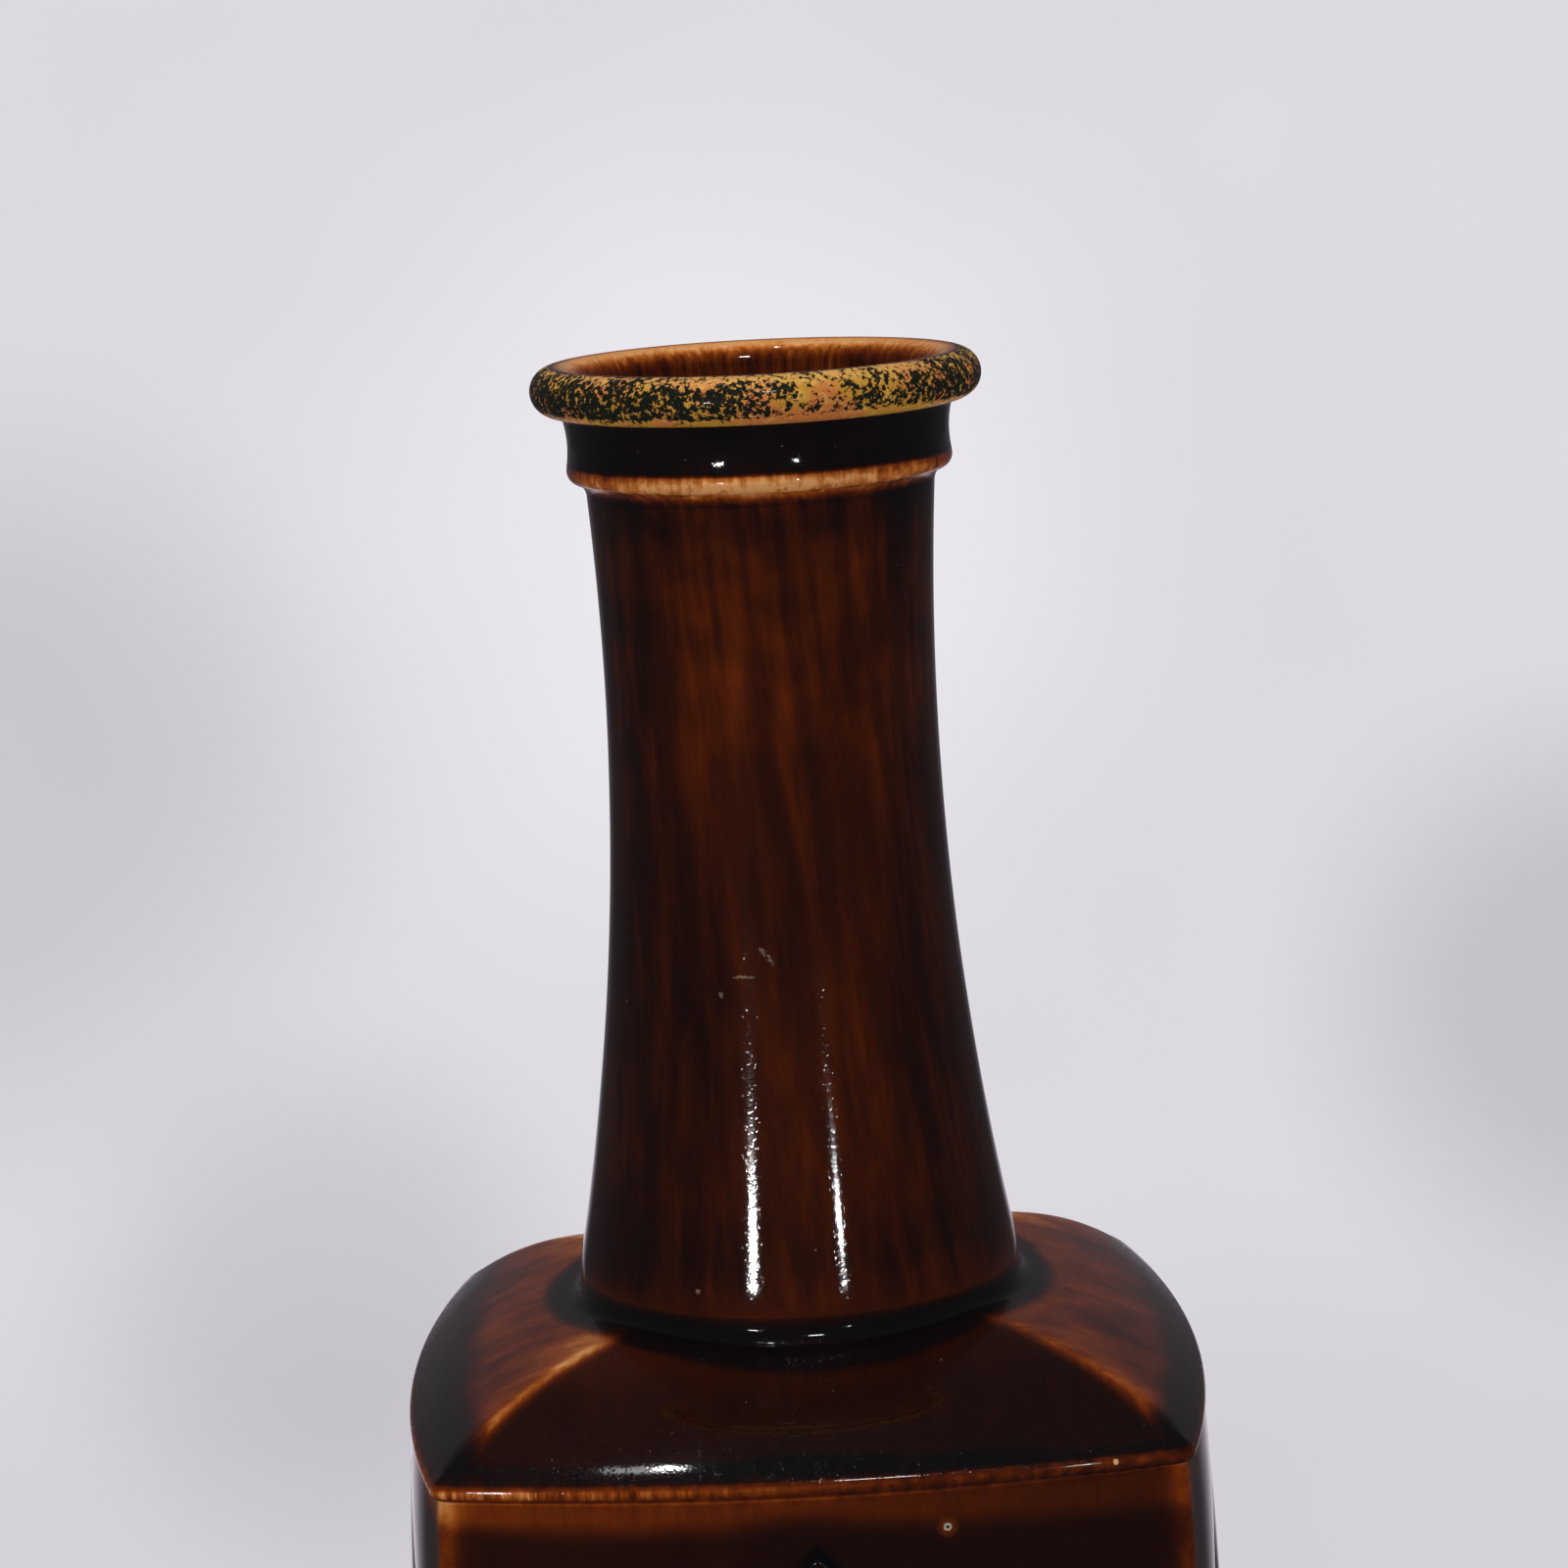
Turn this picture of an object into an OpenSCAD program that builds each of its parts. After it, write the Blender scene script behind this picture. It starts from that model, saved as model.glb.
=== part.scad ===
// A tall glazed vase in one piece: a square body with bowed sides, a domed and
// hipped shoulder with a lip round its eaves, and a waisted round neck that ends
// in a bead, a collar and a rolled rim. It is hollow from the rim to the floor.
// The origin is the middle of the foot, on the table, with +Z up the neck.

/* [Body] */
// Length of one side, from corner to corner of the eaves
side_len = 120; // [100:1:150]
// How far the middle of the eaves bows out past their corners
side_bow = 6.6; // [3:0.2:12]
// Height of the eaves above the table
eaves_z = 165; // [120:1:220]
// How far the corners of the wall lie in behind the corners of the eaves
wall_in = 0.4; // [0.2:0.1:1.5]
// How far the middle of each wall swells out past the eaves
wall_swell = 0.8; // [0.5:0.1:2.5]
// Depth under the eaves at which the wall reaches its full width
swell_drop = 26; // [12:1:40]
// Thickness of the wall at its corners, where it is thinnest
body_wall = 5.5; // [4:0.5:9]
// Thickness of the floor above the recess under it
floor_t = 7; // [5:0.5:12]
// Radius of the upright corners
corner_r = 2.4; // [1:0.2:5]
// Radius of the edge round the bottom of the body
foot_edge_r = 2; // [1:0.25:4]
// Width of the bare ring that the vase stands on
foot_ring_w = 8; // [5:0.5:16]
// Depth of the recess inside that ring
foot_recess = 2.5; // [1:0.25:5]

/* [Shoulder] */
// Radius of the lip that runs round the eaves
lip_r = 1.7; // [1.2:0.1:3]
// Radius of the dome of the shoulder, seen from the side
dome_r = 62; // [52:1:90]
// Slope of the shoulder where it leaves the lip, in degrees
dome_slope = 40; // [32:1:48]
// Thickness of the shoulder
dome_wall = 5.5; // [4:0.5:8]

/* [Side panels] */
// Width of the pointed panel on each side
panel_w = 62; // [30:1:84]
// How far the panels stand out from the body
panel_h = 1; // [0.4:0.1:3]
// Distance from the eaves down to the point of a panel
panel_top_gap = 11.5; // [8:0.5:30]
// Distance from the table up to the lower point of a panel
panel_foot_gap = 16; // [8:0.5:40]

/* [Neck] */
// Radius of the neck at its waist
waist_r = 27.4; // [20:0.2:30]
// Height of the waist above the eaves
waist_rise = 115; // [90:1:130]
// Radius of the neck at its foot
neck_foot_r = 37; // [34:0.2:40]
// Height above the eaves at which the neck reaches its full width
flare_rise = 20; // [18:0.5:30]
// Radius of the roll at which the neck turns in to the shoulder
foot_roll_r = 2.6; // [1.5:0.1:3.5]
// Thickness of the neck wall
neck_wall = 5; // [3:0.5:7]

/* [Bead and collar] */
// Height of the bead above the eaves
bead_rise = 153.4; // [148:0.2:165]
// Radius of the bead in section
bead_r = 2; // [1.2:0.1:3]
// How far the bead stands out past the neck
bead_proud = 2.75; // [2:0.05:5]
// Radius of the cove under the bead
cove_r = 3; // [2:0.25:5]
// How far the cove reaches down from the bead's underside
cove_drop = 2.4; // [1.6:0.1:4]
// How far the hollow of the collar lies behind the bead
collar_set = 0.35; // [0.2:0.05:1]
// Radius of that hollow in section
collar_hollow_r = 18; // [14:0.5:40]
// Height of the hollow's deepest place above the bead
hollow_rise = 4; // [2:0.2:6]

/* [Rim] */
// Radius of the rolled rim in section
rim_r = 4; // [3:0.1:5.5]
// How far the rim stands out past the bead
rim_proud = 5.3; // [4:0.1:7]
// Height of the rim's middle above the bead
rim_rise = 13.2; // [10:0.2:18]
// Depth of the flare inside the mouth
flare_depth = 21; // [14:0.5:28]

/* [Hidden] */
glaze = [0.30, 0.12, 0.05];
// How far cutting shapes run past what they cut
past = 1;
// Fineness of the long side curves, the round neck and the curves in a section
side_fn = 288;
neck_fn = 80;
section_fn = 32;
long_fn = 180;

// A plan has four bowed sides. It is kept as their radius, and how far the middles of
// their arcs lie past the axis
function plan(half, bow) = [
    (half * half + bow * bow) / (2 * bow),
    (half * half + bow * bow) / (2 * bow) - bow - half
];
// How far a section is drawn in from the outside of a plan
function reach(plan) = plan[0] - past;

half_side = side_len / 2;
eaves_plan = plan(half_side, side_bow);
wall_plan = plan(half_side - wall_in, side_bow + wall_in + wall_swell);

// The wall turns in at its top on a long arc, to end behind the roll of the lip
turn_z = eaves_z - swell_drop;
turn_in = wall_swell + lip_r * 0.15;
turn_r = (pow(swell_drop, 2) + pow(turn_in, 2)) / (2 * turn_in);
cavity_in = wall_in + body_wall;

// The panels are pointed ovals, each the overlap of two circles with bevelled edges
panel_half_w = panel_w / 2;
panel_half_h = (eaves_z - panel_top_gap - panel_foot_gap) / 2;
panel_mid_z = panel_foot_gap + panel_half_h;
panel_arc_r = (pow(panel_half_w, 2) + pow(panel_half_h, 2)) / panel_w;
panel_face_x = half_side + side_bow + wall_swell + panel_h;
panel_root_x = panel_face_x - panel_h - pow(panel_half_w, 2) / wall_plan[0] - body_wall / 2;

// How far the cuts that round the corners reach out from the middle of the round
cut_reach = 3 * corner_r;

// A height just under the lip, where the rounding of the wall's corners ends
lip_foot_z = eaves_z - 1.2 * lip_r;

// Middle of the dome's arc, measured in from the lip and up from the table
dome_x = -lip_r + (lip_r - dome_r) * sin(dome_slope);
dome_z = eaves_z + (lip_r - dome_r) * cos(dome_slope);
crown_z = dome_z + dome_r;

// The neck is one long hollow arc between its foot and its waist
waist_z = eaves_z + waist_rise;
flare_z = eaves_z + flare_rise;
flare_in = neck_foot_r - waist_r;
neck_arc_r = (pow(waist_z - flare_z, 2) + flare_in * flare_in) / (2 * flare_in);
function neck_radius(z) = waist_r + neck_arc_r - sqrt(pow(neck_arc_r, 2) - pow(z - waist_z, 2));

// The roll is sunk to half its radius in the crown, so the neck turns in to a crease
roll_z = crown_z + foot_roll_r / 2;
bead_z = eaves_z + bead_rise;
bead_out_r = neck_radius(bead_z) + bead_proud;
cove_z = bead_z - bead_r - cove_drop;
cove_x = neck_radius(cove_z) + cove_r;
rim_z = bead_z + rim_rise;
rim_mid_r = bead_out_r + rim_proud - rim_r;
hollow_z = bead_z + hollow_rise;
collar_r = bead_out_r - collar_set;

bore_foot_r = neck_foot_r - neck_wall;
mouth_r = rim_mid_r - rim_r;
mouth_flare_z = rim_z - flare_depth;
floor_z = foot_recess + floor_t;

// A section, drawn in from the outside of a plan, turned about the middle of one
// side's arc, and kept where the four sides overlap. The hips follow from that.
module four_sided(plan) {
    intersection() {
        one_side(plan, 0) children();
        one_side(plan, 90) children();
        one_side(plan, 180) children();
        one_side(plan, 270) children();
    }
}

module one_side(plan, turn) {
    rotate([0, 0, turn])
        translate([-plan[1], 0, 0])
            rotate_extrude($fn = side_fn)
                translate([plan[0], 0])
                    children();
}

// Everything under the dome's arc, for a wall whose outside lies inset behind the lip
module under_dome(arc_r, inset, low_z) {
    intersection() {
        translate([dome_x, dome_z])
            circle(r = arc_r, $fn = long_fn);
        translate([dome_x, low_z])
            square([-dome_x - inset, arc_r + dome_z]);
    }
    translate([-reach(eaves_plan), low_z])
        square([reach(eaves_plan) + dome_x + past, dome_z + arc_r - low_z]);
}

module shoulder_section() {
    translate([-lip_r, eaves_z])
        circle(r = lip_r, $fn = section_fn);
    under_dome(dome_r, lip_r, eaves_z - lip_r);
}

module wall_section() {
    translate([-reach(wall_plan), foot_edge_r])
        square([reach(wall_plan), turn_z - foot_edge_r]);
    translate([-reach(wall_plan), 0])
        square([reach(wall_plan) - foot_edge_r, turn_z]);
    translate([-foot_edge_r, foot_edge_r])
        circle(r = foot_edge_r, $fn = section_fn);
    intersection() {
        translate([-turn_r, turn_z])
            circle(r = turn_r, $fn = long_fn);
        translate([-body_wall, turn_z - past])
            square([body_wall, swell_drop + past]);
    }
    translate([-reach(wall_plan), turn_z - past])
        square([reach(wall_plan) - body_wall / 2, swell_drop + past]);
}

module cavity_section() {
    translate([-reach(eaves_plan), floor_z])
        square([reach(eaves_plan) - cavity_in, eaves_z - floor_z]);
    under_dome(dome_r - dome_wall, cavity_in, eaves_z - past);
}

module recess_section() {
    translate([-reach(wall_plan), -past])
        square([reach(wall_plan) - foot_ring_w, past + foot_recess]);
}

// What is cut away to round the upright corners of a plan
module corner_cuts(plan, low_z, high_z) {
    arc_r = plan[0] - corner_r;
    mid = (sqrt(2 * arc_r * arc_r - plan[1] * plan[1]) - plan[1]) / 2;
    // From the middle of the round, out past the place where it touches the side
    out = [mid + plan[1], mid] * cut_reach / arc_r;
    for (turn = [0 : 90 : 270])
        rotate([0, 0, turn])
            translate([mid, mid, low_z])
                linear_extrude(high_z - low_z)
                    difference() {
                        polygon([[0, 0], out, [cut_reach, cut_reach], [out[1], out[0]]]);
                        circle(r = corner_r, $fn = section_fn);
                    }
}

module panel_disc(side) {
    translate([panel_root_x, side * (panel_half_w - panel_arc_r), panel_mid_z])
        rotate([0, 90, 0])
            cylinder(
                r1 = panel_arc_r + panel_face_x - panel_root_x,
                r2 = panel_arc_r - past,
                h = panel_face_x - panel_root_x + past,
                $fn = long_fn
            );
}

module panels() {
    for (turn = [0 : 90 : 270])
        rotate([0, 0, turn])
            intersection() {
                translate([-wall_plan[1], 0, 0])
                    cylinder(r = wall_plan[0] + panel_h, h = eaves_z, $fn = side_fn);
                panel_disc(1);
                panel_disc(-1);
            }
}

module neck_section() {
    difference() {
        translate([0, roll_z])
            square([neck_foot_r, bead_z - roll_z]);
        translate([waist_r + neck_arc_r, waist_z])
            circle(r = neck_arc_r, $fn = 2 * long_fn);
    }
    translate([0, eaves_z])
        square([neck_foot_r - foot_roll_r, foot_roll_r + roll_z - eaves_z]);
    translate([neck_foot_r - foot_roll_r, roll_z])
        circle(r = foot_roll_r, $fn = section_fn);
}

module bead_section() {
    translate([bead_out_r - bead_r, bead_z])
        circle(r = bead_r, $fn = section_fn);
    difference() {
        translate([0, cove_z])
            square([bead_out_r - bead_r / 2, bead_z - cove_z]);
        translate([cove_x, cove_z])
            circle(r = cove_r, $fn = section_fn);
    }
}

module rim_section() {
    difference() {
        translate([0, bead_z])
            square([rim_mid_r, rim_rise]);
        translate([collar_r + collar_hollow_r, hollow_z])
            circle(r = collar_hollow_r, $fn = long_fn);
    }
    translate([rim_mid_r, rim_z])
        circle(r = rim_r, $fn = section_fn);
}

// The bore runs inside the neck at an even wall, then flares to the rolled rim
module bore_section() {
    difference() {
        translate([0, eaves_z])
            square([bore_foot_r, rim_z - eaves_z]);
        translate([waist_r + neck_arc_r, waist_z])
            circle(r = neck_arc_r + neck_wall, $fn = 2 * long_fn);
    }
    polygon([
        [0, mouth_flare_z],
        [neck_radius(mouth_flare_z) - neck_wall, mouth_flare_z],
        [mouth_r, rim_z],
        [mouth_r - past, rim_z + past],
        [0, rim_z + past]
    ]);
}

module vase() {
    color(glaze)
        difference() {
            union() {
                difference() {
                    four_sided(eaves_plan) shoulder_section();
                    corner_cuts(eaves_plan, lip_foot_z, crown_z);
                }
                difference() {
                    four_sided(wall_plan) wall_section();
                    corner_cuts(wall_plan, -past, lip_foot_z);
                }
                panels();
                rotate_extrude($fn = neck_fn) {
                    neck_section();
                    bead_section();
                    rim_section();
                }
            }
            four_sided(eaves_plan) cavity_section();
            four_sided(wall_plan) recess_section();
            rotate_extrude($fn = neck_fn) bore_section();
        }
}

vase();
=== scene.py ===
"""The looks of the square vase: its glazed surface, its glaze, the stage and the camera."""

import math

import bpy
from mathutils import Matrix, Vector


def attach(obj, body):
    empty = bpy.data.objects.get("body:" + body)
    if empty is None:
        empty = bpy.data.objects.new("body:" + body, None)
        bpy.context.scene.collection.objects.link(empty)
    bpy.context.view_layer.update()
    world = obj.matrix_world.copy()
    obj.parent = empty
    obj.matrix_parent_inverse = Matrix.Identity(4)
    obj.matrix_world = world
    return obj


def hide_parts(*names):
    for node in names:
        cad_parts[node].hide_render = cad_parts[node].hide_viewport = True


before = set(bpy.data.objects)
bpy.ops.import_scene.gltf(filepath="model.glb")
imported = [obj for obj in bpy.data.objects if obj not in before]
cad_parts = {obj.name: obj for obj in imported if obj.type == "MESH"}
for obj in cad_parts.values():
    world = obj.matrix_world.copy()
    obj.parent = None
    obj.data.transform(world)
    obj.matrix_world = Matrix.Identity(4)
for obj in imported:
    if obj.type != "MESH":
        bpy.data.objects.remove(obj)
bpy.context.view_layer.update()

# Sizes of the vase in millimetres, as in the part's source

SIDE_LEN = 120
SIDE_BOW = 6.6
EAVES_Z = 165
WALL_IN = 0.4
WALL_SWELL = 0.8
SWELL_DROP = 26
BODY_WALL = 5.5
FLOOR_T = 7
CORNER_R = 2.4
FOOT_EDGE_R = 2
FOOT_RING_W = 8
FOOT_RECESS = 2.5

LIP_R = 1.7
DOME_R = 62
DOME_SLOPE = math.radians(40)
DOME_WALL = 5.5

PANEL_W = 62
PANEL_H = 1
PANEL_TOP_GAP = 11.5
PANEL_FOOT_GAP = 16

WAIST_R = 27.4
WAIST_RISE = 115
NECK_FOOT_R = 37
FLARE_RISE = 20
FOOT_ROLL_R = 2.6
NECK_WALL = 5

BEAD_RISE = 153.4
BEAD_R = 2
BEAD_PROUD = 2.75
COVE_R = 3
COVE_DROP = 2.4
COLLAR_SET = 0.35
COLLAR_HOLLOW_R = 18
HOLLOW_RISE = 4

RIM_R = 4
RIM_PROUD = 5.3
RIM_RISE = 13.2
FLARE_DEPTH = 21

# Sizes worked out from those

HALF_SIDE = SIDE_LEN / 2
SIDE_R = (HALF_SIDE**2 + SIDE_BOW**2) / (2 * SIDE_BOW)
SIDE_OFFSET = SIDE_R - SIDE_BOW - HALF_SIDE
WALL_HALF = HALF_SIDE - WALL_IN
WALL_BOW = SIDE_BOW + WALL_IN + WALL_SWELL
WALL_R = (WALL_HALF**2 + WALL_BOW**2) / (2 * WALL_BOW)
WALL_OFFSET = WALL_R - WALL_BOW - WALL_HALF
TURN_Z = EAVES_Z - SWELL_DROP
TURN_IN = WALL_SWELL + LIP_R * 0.15
TURN_R = (SWELL_DROP**2 + TURN_IN**2) / (2 * TURN_IN)

PANEL_HALF_W = PANEL_W / 2
PANEL_HALF_H = (EAVES_Z - PANEL_TOP_GAP - PANEL_FOOT_GAP) / 2
PANEL_MID_Z = PANEL_FOOT_GAP + PANEL_HALF_H
PANEL_TOP_Z = EAVES_Z - PANEL_TOP_GAP
PANEL_ARC_R = (PANEL_HALF_W**2 + PANEL_HALF_H**2) / PANEL_W

DOME_X = -LIP_R + (LIP_R - DOME_R) * math.sin(DOME_SLOPE)
DOME_Z = EAVES_Z + (LIP_R - DOME_R) * math.cos(DOME_SLOPE)
CROWN_Z = DOME_Z + DOME_R

WAIST_Z = EAVES_Z + WAIST_RISE
FLARE_Z = EAVES_Z + FLARE_RISE
FLARE_IN = NECK_FOOT_R - WAIST_R
NECK_ARC_R = ((WAIST_Z - FLARE_Z) ** 2 + FLARE_IN**2) / (2 * FLARE_IN)
NECK_ARC_X = WAIST_R + NECK_ARC_R

ROLL_Z = CROWN_Z + FOOT_ROLL_R / 2
BEAD_Z = EAVES_Z + BEAD_RISE


def neck_radius(z):
    """Radius of the neck's hollow arc at height z."""
    return NECK_ARC_X - math.sqrt(NECK_ARC_R**2 - (z - WAIST_Z) ** 2)


def bore_radius(z):
    """Radius of the bore at height z, below the flare of the mouth."""
    free = NECK_ARC_X - math.sqrt((NECK_ARC_R + NECK_WALL) ** 2 - (z - WAIST_Z) ** 2)
    return min(free, NECK_FOOT_R - NECK_WALL)


BEAD_OUT_R = neck_radius(BEAD_Z) + BEAD_PROUD
COVE_Z = BEAD_Z - BEAD_R - COVE_DROP
COVE_X = neck_radius(COVE_Z) + COVE_R
RIM_Z = BEAD_Z + RIM_RISE
RIM_MID_R = BEAD_OUT_R + RIM_PROUD - RIM_R
HOLLOW_Z = BEAD_Z + HOLLOW_RISE
COLLAR_MID_X = BEAD_OUT_R - COLLAR_SET + COLLAR_HOLLOW_R
MOUTH_R = RIM_MID_R - RIM_R
MOUTH_FLARE_Z = RIM_Z - FLARE_DEPTH
FLOOR_Z = FOOT_RECESS + FLOOR_T


def collar_radius(z):
    """Radius of the hollow collar at height z."""
    return COLLAR_MID_X - math.sqrt(COLLAR_HOLLOW_R**2 - (z - HOLLOW_Z) ** 2)


# How the surface is laid out: columns round it, and steps along each stretch of its section

COLUMNS_PER_SIDE = 80
CORNER_GATHER = 0.4
HIP_SOFTNESS = 4.5
CREASE_SOFTNESS = 0.9
UNEVENNESS = 0.16
POOL_R = 2.4
HAND_SEED = 7.0
MERGE_WITHIN = 0.00001

# The panels' layout, with a cushioned edge, a sunk back and a face a hair short of the CAD's

PANEL_COLUMNS = 57
PANEL_ROWS = 97
PANEL_CUSHION = 13
PANEL_TUCK = 0.4
PANEL_SUNK = 1.2
SHORT_OF_CAD = 0.01
FACE_SHARE = 0.75

# Sums in node trees


class Sum:
    """A number in a node tree. A sum of such numbers adds the nodes that work it out."""

    def __init__(self, tree, socket):
        self.tree = tree
        self.socket = socket

    def work(self, operation, *others):
        return worked_out(self.tree, operation, self, *others)

    def __add__(self, other):
        return self.work("ADD", other)

    __radd__ = __add__

    def __sub__(self, other):
        return self.work("SUBTRACT", other)

    def __rsub__(self, other):
        return worked_out(self.tree, "SUBTRACT", other, self)

    def __mul__(self, other):
        return self.work("MULTIPLY", other)

    __rmul__ = __mul__

    def __truediv__(self, other):
        return self.work("DIVIDE", other)

    def __rtruediv__(self, other):
        return worked_out(self.tree, "DIVIDE", other, self)

    def root(self):
        return self.work("SQRT")

    def squared(self):
        return self.work("MULTIPLY", self)

    def size(self):
        return self.work("ABSOLUTE")

    def limited(self):
        """The number held between 0 and 1."""
        made = self.work("ADD", 0.0)
        made.socket.node.use_clamp = True
        return made

    def over(self, low, high):
        """0 up to low, 1 from high on, and a smooth step between."""
        made = self.tree.nodes.new("ShaderNodeMapRange")
        made.interpolation_type = "SMOOTHSTEP"
        feed(self.tree, made.inputs["Value"], self)
        feed(self.tree, made.inputs["From Min"], low)
        feed(self.tree, made.inputs["From Max"], high)
        return Sum(self.tree, made.outputs["Result"])

    def under(self, low, high):
        """1 up to low, 0 from high on, and a smooth step between."""
        return 1.0 - self.over(low, high)

    def near(self, width):
        """1 at nought, falling away on both sides like a bell of this half width."""
        ratio = self / width
        return 1.0 / (1.0 + ratio * ratio * ratio * ratio)


def feed(tree, socket, value):
    """Gives a node's input a Sum, another socket, or a plain value."""
    if isinstance(value, Sum):
        tree.links.new(value.socket, socket)
    elif isinstance(value, bpy.types.NodeSocket):
        tree.links.new(value, socket)
    else:
        socket.default_value = value


def worked_out(tree, operation, *values):
    """The result of one operation on numbers."""
    made = tree.nodes.new("ShaderNodeMath")
    made.operation = operation
    for place, value in enumerate(values):
        feed(tree, made.inputs[place], value)
    return Sum(tree, made.outputs[0])


def choose(test, if_one, if_nought):
    """A blend of two numbers by a test that runs from 0 to 1."""
    return test * if_one + (1.0 - test) * if_nought


def add_node(tree, kind, settings=None, **inputs):
    """A node with its settings and inputs. An input's name has _ for each space."""
    made = tree.nodes.new(kind)
    for name, value in (settings or {}).items():
        setattr(made, name, value)
    for name, value in inputs.items():
        feed(tree, made.inputs[name.replace("_", " ")], value)
    return made


# The section of the vase, as rows from the middle of its underside round to its inner floor

WELL_INSIDE = -20.0

ROW_DEFAULTS = {
    "out": WELL_INSIDE,
    "wall_out": WELL_INSIDE,
    "radius": 0.0,
    "roundness": 0.0,
    "height": 0.0,
    "dome": 0.0,
    "lift": 0.0,
    "corner": CORNER_R,
    "spread": 1.0,
    "film": 0.8,
    "gilt": 0.0,
    "bare": 0.0,
    "inside": 0.0,
}


def arc(mid_x, mid_z, radius, start, end, steps):
    """Points on an arc, both ends taken. Angles are in degrees, 0 outward and 90 up."""
    points = []
    for step in range(steps + 1):
        angle = math.radians(start + (end - start) * step / steps)
        points.append((mid_x + radius * math.cos(angle), mid_z + radius * math.sin(angle)))
    return points


def line(start, end, steps):
    """Points on a straight line, both ends taken."""
    points = []
    for step in range(steps + 1):
        share = step / steps
        points.append(tuple(a + (b - a) * share for a, b in zip(start, end)))
    return points


def levels(low, high, steps):
    """Heights from low to high in even steps, both ends taken."""
    return [z for _, z in line((0, low), (0, high), steps)]


def square_rows(points, **looks):
    """Rows of the four-sided eaves. Each point is how far out from the lip, and a height."""
    return [dict(ROW_DEFAULTS, out=out, height=height, **looks) for out, height in points]


def wall_rows(points, **looks):
    """Rows of the swelling wall. Each point is how far out from its fullest, and a height."""
    return [dict(ROW_DEFAULTS, wall_out=out, height=height, **looks) for out, height in points]


def wall_turn(z):
    """How far out the wall is at height z, where it turns in towards the lip."""
    return math.sqrt(TURN_R**2 - max(z - TURN_Z, 0) ** 2) - TURN_R


def round_rows(points, **looks):
    """Rows of the round neck. Each point is a radius and a height."""
    return [
        dict(ROW_DEFAULTS, radius=radius, height=height, roundness=1.0, **looks)
        for radius, height in points
    ]


def dome_rows(arc_r, out, radius, height, shares, **looks):
    """Rows that run from a square loop to a round one over the dome."""
    row = dict(ROW_DEFAULTS, out=out, radius=radius, height=height, dome=arc_r, **looks)
    return [dict(row, roundness=share) for share in shares]


def shade_rows(rows, name, values):
    """Spreads values of one attribute evenly along a run of rows."""
    last = max(len(rows) - 1, 1)
    for place, row in enumerate(rows):
        spot = place / last * (len(values) - 1)
        low = min(int(spot), len(values) - 2)
        row[name] = values[low] + (values[low + 1] - values[low]) * (spot - low)
    return rows


def foot_section():
    """The recess under the vase, its bare foot ring and the rounded bottom edge."""
    ring_in = -FOOT_RING_W
    edge_x = -FOOT_EDGE_R
    rows = []
    for spread in (0.0, 0.35, 0.7, 0.97):
        rows += wall_rows([(ring_in, FOOT_RECESS)], spread=spread, bare=0.5)
    rows += wall_rows([(ring_in, FOOT_RECESS - 0.25), (ring_in, 0.35)], bare=0.8)
    rows += wall_rows([(ring_in + 0.3, 0), (ring_in + 3, 0), (edge_x, 0)], bare=1.0)
    edge = wall_rows(arc(edge_x, FOOT_EDGE_R, FOOT_EDGE_R, -80, 0, 6))
    return rows + shade_rows(edge, "bare", (1.0, 1.0, 0.35, 0.0))


def wall_section():
    """The upright sides, from the bottom edge to just under the lip."""
    points = line((0, FOOT_EDGE_R + 0.8), (0, 10), 5)
    points += line((0, 13), (0, TURN_Z), 28)
    heights = levels(TURN_Z + 1.8, EAVES_Z - LIP_R - 0.4, 14)
    return wall_rows(points + [(wall_turn(z), z) for z in heights])


def lip_section():
    """The rounded lip at the eaves, up to where it runs on into the dome."""
    top = 90 - math.degrees(DOME_SLOPE)
    low = square_rows(arc(-LIP_R, EAVES_Z, LIP_R, -86, 0, 10))
    for row in low:
        row["wall_out"] = wall_turn(row["height"])
    high = square_rows(arc(-LIP_R, EAVES_Z, LIP_R, top / 7, top, 6))
    shade_rows(high, "corner", (CORNER_R, CORNER_R - 0.4))
    shade_rows(low, "film", (0.62, 0.66, 0.64, 0.52, 0.44))
    return low + shade_rows(high, "film", (0.46, 0.52, 0.6, 0.66))


def shoulder_section():
    """The hipped dome, from the lip to the crease round the neck."""
    lip_top = -LIP_R + LIP_R * math.sin(DOME_SLOPE)
    crease_r = NECK_FOOT_R + POOL_R + 0.4
    shares = [0.012, 0.026, 0.045] + [0.07 + 0.031 * step for step in range(29)]
    shares += [0.962, 0.982, 1.0]
    rows = dome_rows(DOME_R, lip_top, crease_r, CROWN_Z, shares, corner=CORNER_R - 0.5)
    shade_rows(rows[:5], "film", (0.66, 0.7, 0.74, 0.82, 0.85))
    shade_rows(rows[4:], "film", (0.85, 0.83, 0.8, 0.76, 0.74, 0.76))
    return rows


def neck_section():
    """The roll at the foot of the neck, and the neck's long hollow arc."""
    pool = round_rows(arc(NECK_FOOT_R + POOL_R, 0, POOL_R, 262, 192, 8), film=1.0)
    for row in pool:
        row["dome"] = DOME_R
        row["lift"] = row["height"] + POOL_R
        row["height"] = 0.0
    turn = [(NECK_FOOT_R + 0.01, ROLL_Z + 1.15), (NECK_FOOT_R - 0.03, ROLL_Z + 1.8)]
    turn = round_rows(turn + [(NECK_FOOT_R - 0.12, FLARE_Z - 0.2)])
    shade_rows(turn, "film", (0.84, 0.66, 0.68))
    heights = levels(FLARE_Z + 1.4, COVE_Z, 44)
    arc_rows = round_rows([(neck_radius(z), z) for z in heights], film=0.76)
    shade_rows(arc_rows[:5], "film", (0.73, 0.82, 0.8))
    return pool + turn + arc_rows


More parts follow.
